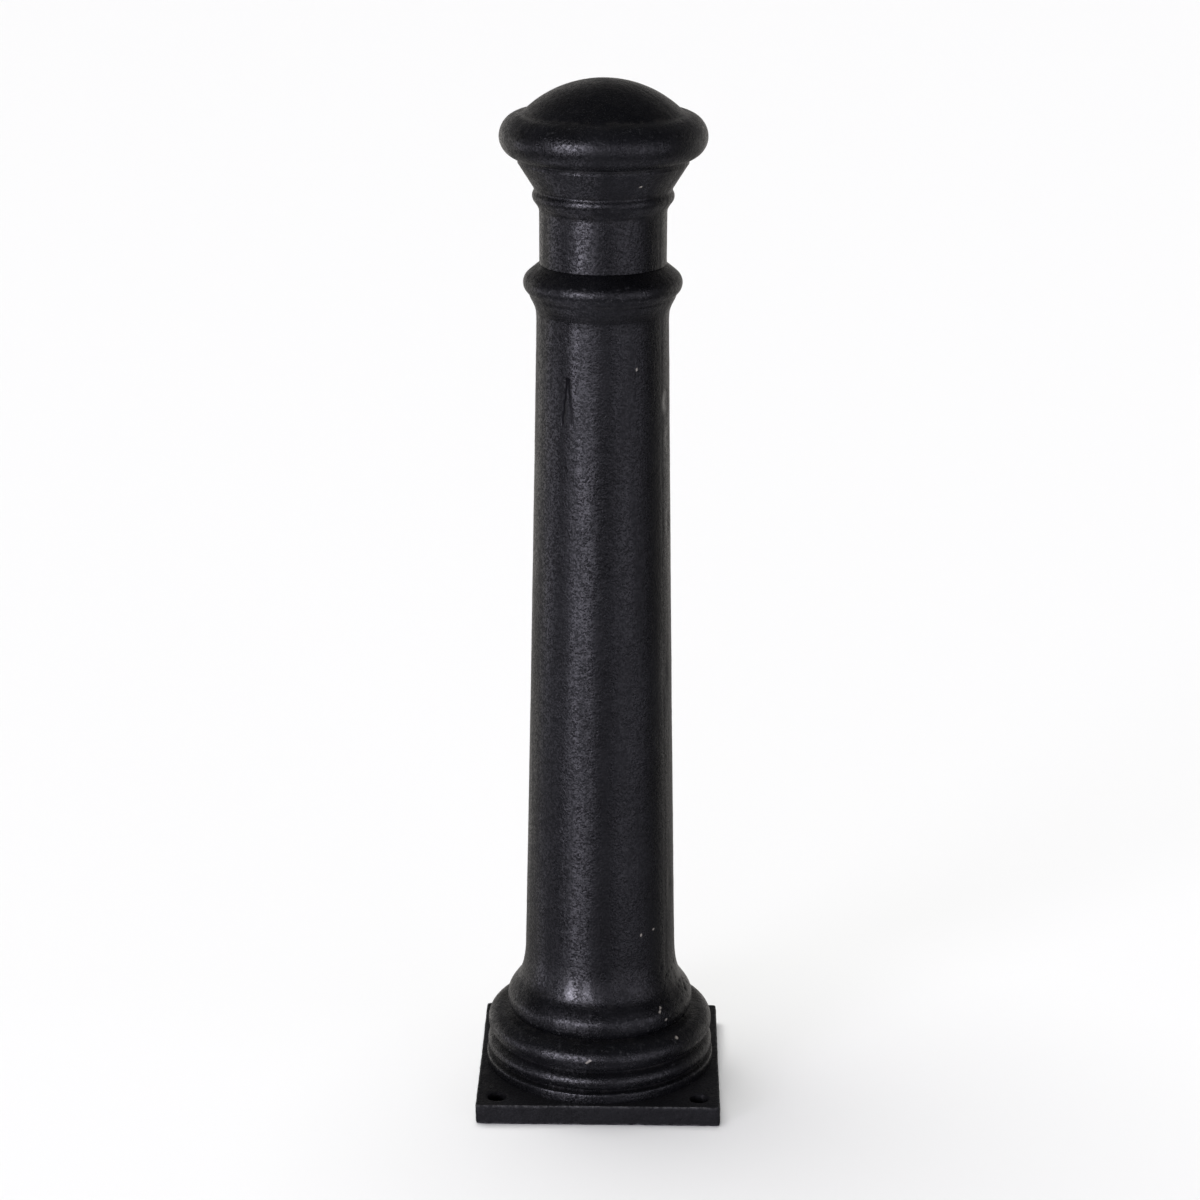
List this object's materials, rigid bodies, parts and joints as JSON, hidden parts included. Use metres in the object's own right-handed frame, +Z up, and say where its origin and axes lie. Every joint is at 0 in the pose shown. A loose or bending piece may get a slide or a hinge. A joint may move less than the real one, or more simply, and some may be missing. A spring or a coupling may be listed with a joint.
{
  "type": "bollard post",
  "caption": "Round tapering mooring bollard post with a domed roll cap, collar and stepped roll base on a square bolt-down foot plate.",
  "frame": {"origin": "centre of the foot plate's underside", "axes": "+Z up along the post; X and Y along the plate's sides"},
  "size_m": [0.23, 0.23, 0.9618],
  "materials": {
    "painted_iron": "satin black bitumen-like paint on sand-cast iron",
    "painted_plate": "satin black paint, chipped and dusty on the edges",
    "core_steel": "mill finish steel",
    "zinc_steel": "zinc plated steel"
  },
  "bodies": {
    "root": {"foot_plate": "painted_plate", "core_pipe": "core_steel", "base_casting": "painted_iron", "base_screws": "zinc_steel", "shaft_casting": "painted_iron", "collar_ring": "painted_iron", "neck_casting": "painted_iron", "cap_casting": "painted_iron", "pipe_head_disc": "core_steel", "cap_stud": "zinc_steel", "stud_washer": "zinc_steel", "stud_nut": "zinc_steel", "lower_centring_disc": "core_steel", "upper_centring_bush": "core_steel", "base_dowels": "zinc_steel", "collar_dowels": "zinc_steel", "neck_dowels": "zinc_steel"}
  },
  "joints": []
}
